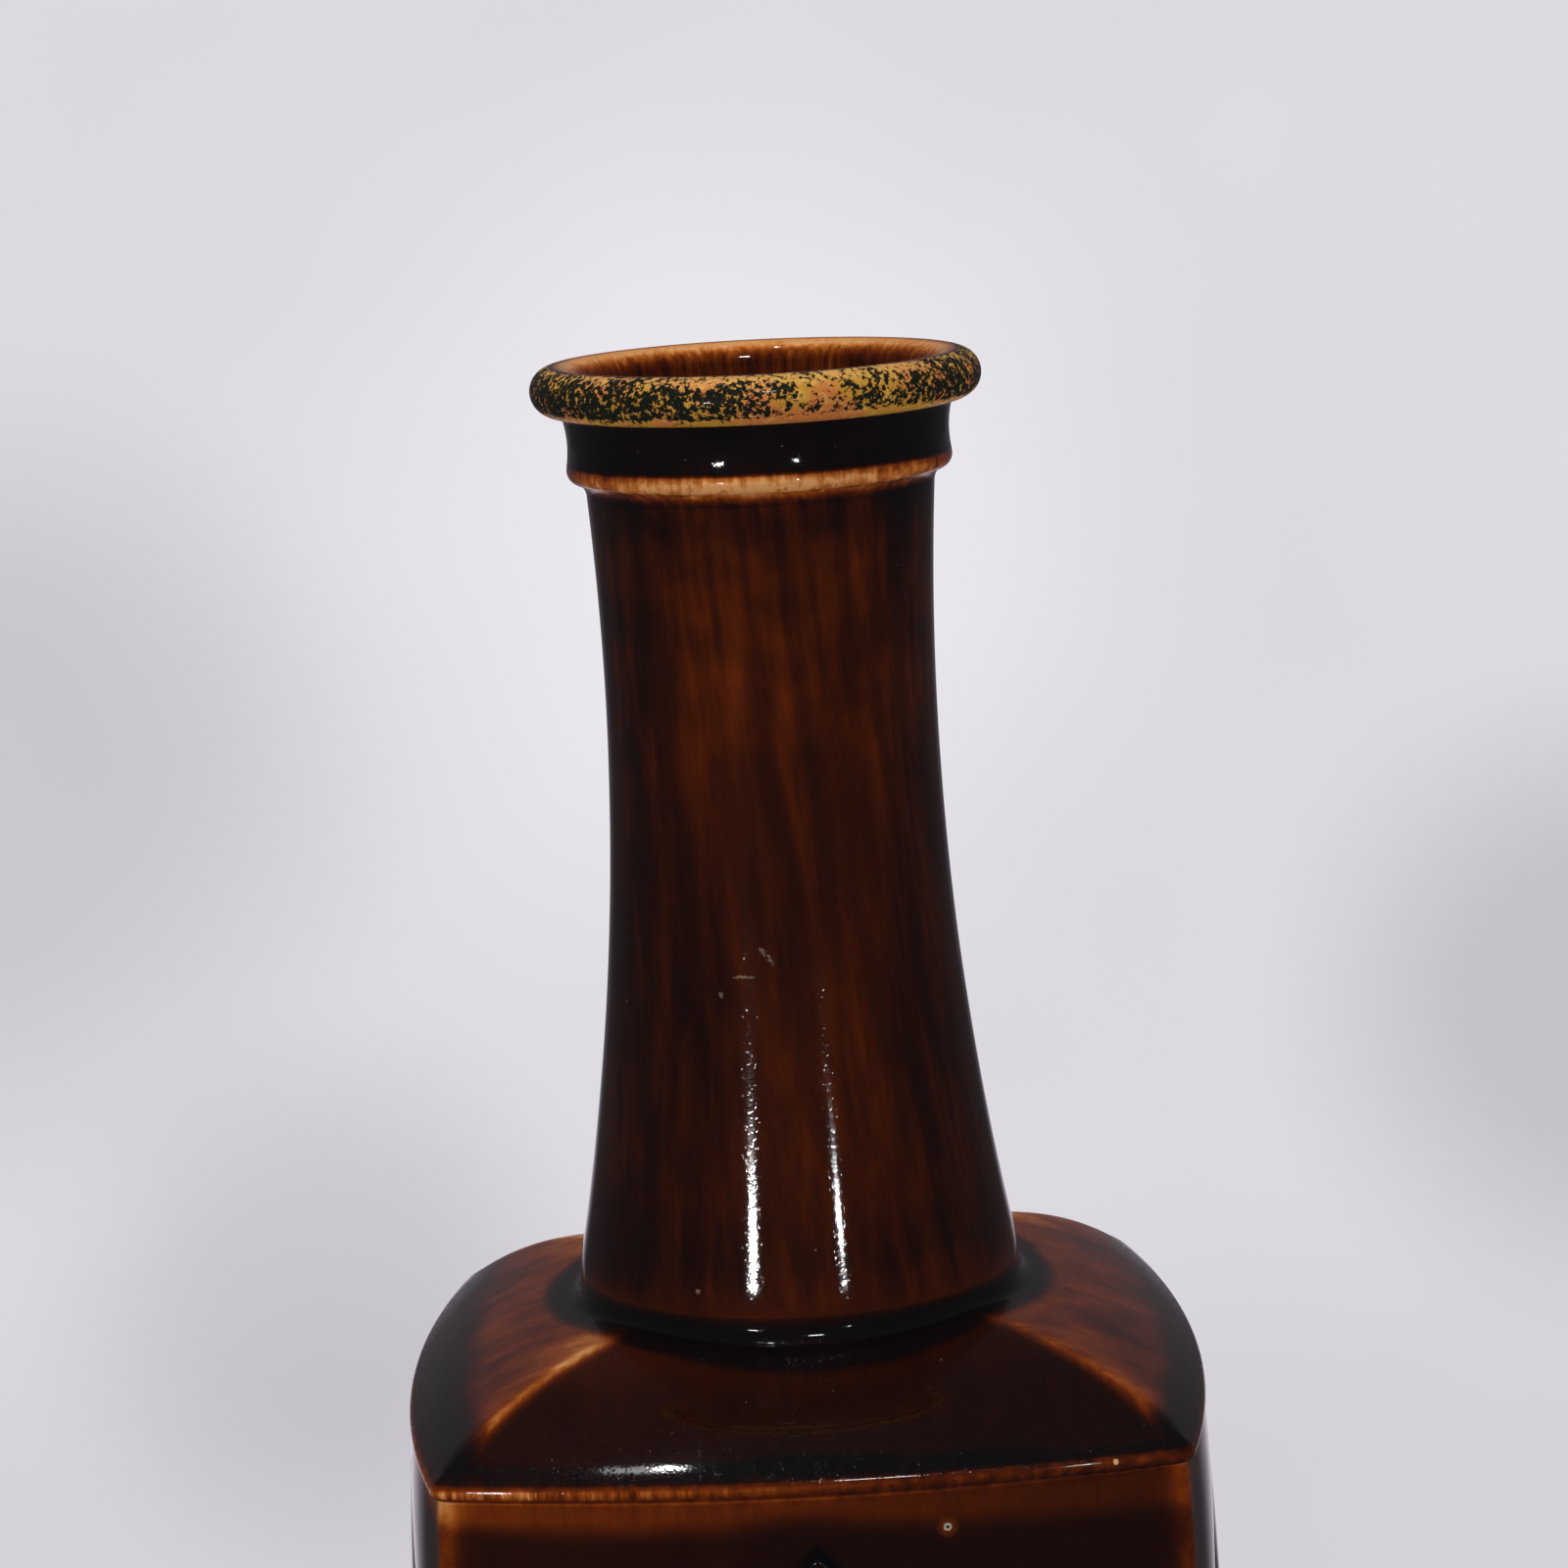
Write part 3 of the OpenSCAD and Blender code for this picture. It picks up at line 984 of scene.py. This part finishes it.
def vector_work(tree, operation, first, second):
    """One operation on two vectors, as its node."""
    made = add_node(tree, "ShaderNodeVectorMath", {"operation": operation})
    feed(tree, made.inputs[0], first)
    feed(tree, made.inputs[1], second)
    return made


def distance(tree, place, other):
    """How far apart two places are."""
    return Sum(tree, vector_work(tree, "DISTANCE", place, other).outputs["Value"])


def from_line(tree, place, start, end):
    """How far a place is from a straight line between two points."""
    start, run = Vector(start), Vector(end) - Vector(start)
    offset = vector_work(tree, "SUBTRACT", place, start).outputs[0]
    along = vector_work(tree, "DOT_PRODUCT", offset, run / run.length_squared)
    share = Sum(tree, along.outputs["Value"]).limited()
    nearest = vector_work(tree, "MULTIPLY", share, run).outputs[0]
    return distance(tree, offset, nearest)


def flawed(tree, where, in_mm, colour):
    """The glaze's colour with its pinhole, chip, specks and scrapes, and where it is pitted."""
    ragged = noise(tree, where, 2600, detail=2.0) - 0.5
    to_hole = distance(tree, in_mm, PINHOLE) + ragged * 0.3
    halo = to_hole.under(0.5, 2.2) * 0.75
    colour = mixed(tree, halo, colour, linear(112, 52, 12))
    colour = mixed(tree, to_hole.under(0.56, 0.72), colour, linear(188, 180, 168))
    hole = to_hole.under(0.18, 0.34)
    colour = mixed(tree, hole, colour, linear(20, 16, 14))
    chip = (distance(tree, in_mm, LIP_CHIP) + ragged * 0.8).under(0.35, 0.6)
    colour = mixed(tree, chip, colour, linear(232, 190, 140))
    speck = (distance(tree, in_mm, NECK_SPECK) + ragged * 0.6).under(0.3, 0.5)
    colour = mixed(tree, speck * 0.8, colour, linear(140, 124, 116))
    pit = distance(tree, in_mm, SIDE_PIT).under(0.26, 0.42)
    for start, end, width in SCRAPES:
        line_off = from_line(tree, in_mm, start, end) + ragged * (width * 8.0)
        scrape = line_off.under(width * 0.5, width * 2.0) * 0.55
        colour = mixed(tree, scrape, colour, linear(150, 136, 124))
    dust = add_node(tree, "ShaderNodeTexVoronoi", Vector=where, Scale=230.0)
    rare = Sum(tree, dust.outputs["Color"]).over(0.78, 0.8)
    dust_speck = Sum(tree, dust.outputs["Distance"]).under(0.02, 0.045) * rare
    colour = mixed(tree, dust_speck * 0.5, colour, linear(170, 156, 144))
    return colour, (pit + hole).limited()


def glaze_material():
    """A glossy brown glaze: amber where it is thin, red-brown to black where it pooled, with
    some painted light and shade.
    """
    material, tree = new_material("glaze")
    where = add_node(tree, "ShaderNodeTexCoord").outputs["Object"]
    parts = add_node(tree, "ShaderNodeSeparateXYZ", Vector=where)
    x = Sum(tree, parts.outputs[0]) * 1000.0
    y = Sum(tree, parts.outputs[1]) * 1000.0
    z = Sum(tree, parts.outputs[2]) * 1000.0
    depth = glaze_depth_and_painted_light(tree, where, x, y, z)
    colour = colour_ramp(tree, depth, GLAZE_STOPS)

    in_mm = vector(tree, x, y, z)
    colour, pitted = flawed(tree, where, in_mm, colour)

    # The gilt of the rim has a worn edge
    worn = noise(tree, where, 380, detail=3.0) - 0.5
    gold, flecks = gilding(tree, where, x, z)
    gilt_edge = (attribute(tree, "gilt") + worn * 0.6).over(0.4, 0.55)
    colour = mixed(tree, gilt_edge, colour, gold)

    # The bare clay of the foot ring
    grog = noise(tree, where, 1400, detail=3.0)
    clay = mixed(tree, grog.over(0.35, 0.7), linear(150, 112, 84), linear(116, 78, 56))
    bare_edge = (attribute(tree, "bare") + worn * 0.3).over(0.4, 0.55)
    colour = mixed(tree, bare_edge, colour, clay)

    # The gloss is dull at the points of the panels, where the glaze ran off
    beside = x.size().work("MINIMUM", y.size())
    dull = (beside.squared() + (z - PANEL_TOP_Z).squared()).root().under(2.0, 4.5)

    # A gentle orange-peel in the gloss, and a matt grain in clay and gilt
    swell = noise(tree, where, 70, detail=1.0)
    peel = noise(tree, where, 420, detail=2.0) * 0.22
    on_dome = z.over(EAVES_Z, EAVES_Z + 2) * z.under(CROWN_Z - 1, CROWN_Z)
    pits = noise(tree, where, 1700, detail=1.0).over(0.56, 0.7)
    pinholes = noise(tree, where, 2400, detail=1.0) * 0.1 + pits * (0.08 + on_dome * 0.9)
    grain = noise(tree, where, 900, detail=2.0)
    rough_skin = grain * (gilt_edge * 0.6 + bare_edge) + flecks * gilt_edge * 0.3
    gloss_height = swell + peel + pinholes + rough_skin * 0.25
    bump = add_node(tree, "ShaderNodeBump", Height=gloss_height, Distance=0.0001, Strength=0.35)

    shader = add_node(
        tree,
        "ShaderNodeBsdfPrincipled",
        Base_Color=colour,
        Metallic=(1.0 - bare_edge) * 0.35,
        Roughness=choose(bare_edge, 0.85, choose(gilt_edge, 0.4, 0.45)),
        IOR=1.5,
        Specular_IOR_Level=0.0,
        Normal=bump.outputs[0],
        Coat_Weight=(1.0 - bare_edge) * (1.0 - gilt_edge * 0.75) * (1.0 - pitted - dull * 0.85),
        Coat_Roughness=0.045,
        Coat_IOR=1.5,
        Coat_Tint=(0.84, 0.75, 0.64, 1.0),
        Coat_Normal=bump.outputs[0],
    )
    add_node(tree, "ShaderNodeOutputMaterial", Surface=shader.outputs[0])
    return material


# The stage, the lamps and the camera

FLOOR_RADIUS = 3.0
FLOOR_SHOWS_TO = 0.22
FLOOR_GONE_BY = 0.34
FLOOR_DROP = 0.0002
FLOOR_COLOUR = (0.6, 0.59, 0.62, 1.0)

# How bright the room is, and how bright its parts show in the gloss

ROOM_LIGHT = 0.12
DIM_ROOM = 0.05
PALE_BEHIND = 0.9
PALE_LEFT = 1.0
PALE_ABOVE = 0.1
PALE_FAR = 0.14
GLOSS_TINT = (0.98, 0.88, 1.0, 1.0)


def floor_material():
    """A pale floor that fades in to the backdrop away from the foot, and is dim in gloss."""
    material, tree = new_material("pale_floor")
    where = add_node(tree, "ShaderNodeTexCoord").outputs["Object"]
    parts = add_node(tree, "ShaderNodeSeparateXYZ", Vector=where)
    x = Sum(tree, parts.outputs[0])
    y = Sum(tree, parts.outputs[1])
    radius = (x.squared() + y.squared()).root()
    far = radius.over(FLOOR_SHOWS_TO, FLOOR_GONE_BY)
    path = add_node(tree, "ShaderNodeLightPath")
    by_camera = Sum(tree, path.outputs["Is Camera Ray"])
    by_gloss = Sum(tree, path.outputs["Is Glossy Ray"])
    matt = add_node(tree, "ShaderNodeBsdfDiffuse", Color=FLOOR_COLOUR)
    clear = add_node(tree, "ShaderNodeBsdfTransparent")
    seen = add_node(tree, "ShaderNodeMixShader", Fac=far * by_camera)
    tree.links.new(matt.outputs[0], seen.inputs[1])
    tree.links.new(clear.outputs[0], seen.inputs[2])

    # In gloss it is dim in front, and pale in the sector behind the vase
    behind = (y / (radius + 0.001)).over(0.86, 1.0) * radius.over(0.08, 0.2)
    to_left = x.under(-0.16, 0.02)
    pale = choose(to_left, PALE_LEFT, PALE_BEHIND)
    pale = choose(radius.under(0.7, 1.1), pale, PALE_FAR)
    paler_behind = DIM_ROOM + behind * (pale - DIM_ROOM)
    sheen = add_node(tree, "ShaderNodeEmission", Color=GLOSS_TINT, Strength=paler_behind)
    blend = add_node(tree, "ShaderNodeMixShader", Fac=by_gloss)
    tree.links.new(seen.outputs[0], blend.inputs[1])
    tree.links.new(sheen.outputs[0], blend.inputs[2])
    add_node(tree, "ShaderNodeOutputMaterial", Surface=blend.outputs[0])
    return material


def build_floor():
    """A flat disc just under the foot."""
    ring = 96
    mesh = bpy.data.meshes.new("floor")
    points = []
    for step in range(ring):
        angle = 2 * math.pi * step / ring
        points.append((FLOOR_RADIUS * math.cos(angle), FLOOR_RADIUS * math.sin(angle), 0))
    mesh.from_pydata(points, [], [list(range(ring))])
    floor = bpy.data.objects.new("floor", mesh)
    floor.location.z = -FLOOR_DROP
    mesh.materials.append(floor_material())
    bpy.context.scene.collection.objects.link(floor)


def soft_patch(tree, where, azimuth, elevation, inner, outer):
    """1 near a direction of view, and 0 beyond an outer angle from it. Angles in degrees."""
    turn, lift = math.radians(azimuth), math.radians(elevation)
    spot = (math.sin(turn) * math.cos(lift), math.cos(turn) * math.cos(lift), math.sin(lift))
    return distance(tree, where, spot).under(math.radians(inner), math.radians(outer))


def build_world():
    """A pale backdrop for the camera, and a studio that is dim in front and paler behind."""
    world = bpy.data.worlds.new("studio")
    bpy.context.scene.world = world
    world.use_nodes = True
    tree = world.node_tree
    tree.nodes.clear()
    where = add_node(tree, "ShaderNodeTexCoord").outputs["Generated"]
    parts = add_node(tree, "ShaderNodeSeparateXYZ", Vector=where)
    back = Sum(tree, parts.outputs[1])
    up = Sum(tree, parts.outputs[2])
    path = add_node(tree, "ShaderNodeLightPath")
    by_camera = Sum(tree, path.outputs["Is Camera Ray"])
    by_transmission = Sum(tree, path.outputs["Is Transmission Ray"])
    by_gloss = Sum(tree, path.outputs["Is Glossy Ray"])
    in_gloss = DIM_ROOM + back.over(0.66, 1.0) * (PALE_ABOVE - DIM_ROOM) * up.under(0.2, 0.6)
    dim = choose(by_gloss, in_gloss, ROOM_LIGHT)
    seen = (by_camera + by_transmission).limited()

    # Painted light and shade on the backdrop behind the vase: brighter round it, painted shadows
    # to the left and right, and darker low down
    glow = soft_patch(tree, where, 0, -7, 1, 7) * 0.4
    left_shade = soft_patch(tree, where, -9.5, -9.5, 1.5, 6) * 0.45
    right_shade = soft_patch(tree, where, 10.5, -13, 1, 4.5) * 0.6
    low_left = soft_patch(tree, where, -5.5, -16, 1, 4) * 0.4
    low_shade = up.under(-0.32, -0.25) * 0.2
    waver = noise(tree, where, 9, detail=2.0) - 0.5
    shade = 0.53 + glow - left_shade - right_shade - low_left - low_shade + waver * 0.25
    shade = shade.limited()
    cloth = mixed(tree, shade, linear(197, 194, 201), linear(238, 236, 241))
    plain = mixed(tree, by_gloss, (0.98, 0.98, 1.0, 1.0), GLOSS_TINT)
    colour = mixed(tree, seen, plain, cloth)
    strength = choose(seen, 1.0, dim)
    backdrop = add_node(tree, "ShaderNodeBackground", Color=colour, Strength=strength)
    add_node(tree, "ShaderNodeOutputWorld", Surface=backdrop.outputs[0])


def add_lamp(name, azimuth, low, high, width, distance, power, in_gloss=True):
    """An upright soft box. Azimuth 0 is the camera's side and positive is to its right."""
    turn = math.radians(azimuth)
    away = Vector((math.sin(turn), -math.cos(turn), 0))
    data = bpy.data.lights.new(name, "AREA")
    data.shape = "RECTANGLE"
    data.size = width
    data.size_y = high - low
    data.energy = power
    lamp = bpy.data.objects.new(name, data)
    lamp.location = away * distance + Vector((0, 0, (low + high) / 2))
    lamp.rotation_euler = (-away).to_track_quat("-Z", "Y").to_euler()
    lamp.visible_camera = False
    lamp.visible_glossy = in_gloss
    bpy.context.scene.collection.objects.link(lamp)
    return lamp


def add_top_lamp(name, place, width, depth, power, in_gloss=True):
    """A soft box overhead that points straight down."""
    lamp = add_lamp(name, 0, 0, depth, width, 0, power, in_gloss)
    lamp.location = place
    lamp.rotation_euler = (0, 0, 0)


# Upright lamps: azimuth, lower and upper edge, width, distance and watts

LAMPS_IN_GLOSS = {
    "left_lamp": (-24.5, 0.292, 0.318, 0.1, 1.6, 2.6),
    "left_box": (-24.5, 0.276, 0.336, 0.09, 1.6, 0.22),
    "left_glow": (-24.5, 0.24, 0.39, 0.09, 1.6, 0.08),
    "right_lamp": (21.5, 0.298, 0.316, 0.05, 1.6, 0.8),
    "right_box": (21.5, 0.282, 0.328, 0.05, 1.6, 0.08),
    "right_glow": (21.5, 0.24, 0.36, 0.06, 1.6, 0.04),
    "high_lamp": (6.5, 1.09, 1.19, 0.13, 1.0, 2.2),
}
FILL_LAMPS = {
    "front_fill": (0, 0.2, 0.8, 0.7, 1.7, 9.0),
    "fill_0": (100, 0.3, 1.0, 0.9, 1.8, 14.0),
    "fill_1": (180, 0.3, 1.0, 0.9, 1.8, 14.0),
    "fill_2": (260, 0.3, 1.0, 0.9, 1.8, 14.0),
}


def build_lamps():
    """Two narrow lamps in front with dim boxes round them, small ones overhead, and fills."""
    for name, numbers in LAMPS_IN_GLOSS.items():
        add_lamp(name, *numbers)
    add_top_lamp("glint_lamp", (-0.17, -0.12, 1.55), 0.03, 0.03, 0.26)
    add_top_lamp("glint_box", (-0.205, -0.12, 1.55), 0.09, 0.05, 0.08)
    add_top_lamp("top_fill", (0, 0, 1.9), 0.9, 0.9, 28.0, in_gloss=False)
    for name, numbers in FILL_LAMPS.items():
        add_lamp(name, *numbers, in_gloss=False)


CAMERA_LENS = 108.8
CAMERA_OUT = 0.7732
CAMERA_UP = 0.4022
CAMERA_PITCH = 0.1762
CAMERA_ROLL = -0.0501
CAMERA_YAW = 0.0074
CAMERA_HEAD = -0.0018


def build_camera():
    """The camera at the photograph's viewing angle."""
    data = bpy.data.cameras.new("camera")
    data.lens = CAMERA_LENS
    data.sensor_width = 36
    camera = bpy.data.objects.new("camera", data)
    place = Matrix.Rotation(-CAMERA_YAW, 4, "Z") @ Vector((0, -CAMERA_OUT, CAMERA_UP))
    camera.matrix_world = (
        Matrix.Translation(place)
        @ Matrix.Rotation(CAMERA_HEAD - CAMERA_YAW, 4, "Z")
        @ Matrix.Rotation(math.pi / 2 - CAMERA_PITCH, 4, "X")
        @ Matrix.Rotation(CAMERA_ROLL, 4, "Z")
    )
    bpy.context.scene.collection.objects.link(camera)
    bpy.context.scene.camera = camera


def main():
    """The vase and its panels, the stage, the lamps and the camera."""
    bpy.context.scene.view_settings.view_transform = "Standard"
    glaze = glaze_material()
    for piece in (build_vase(glaze), build_panels(glaze)):
        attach(piece, "root")
        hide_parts("vase")
    build_floor()
    build_world()
    build_lamps()
    build_camera()


main()
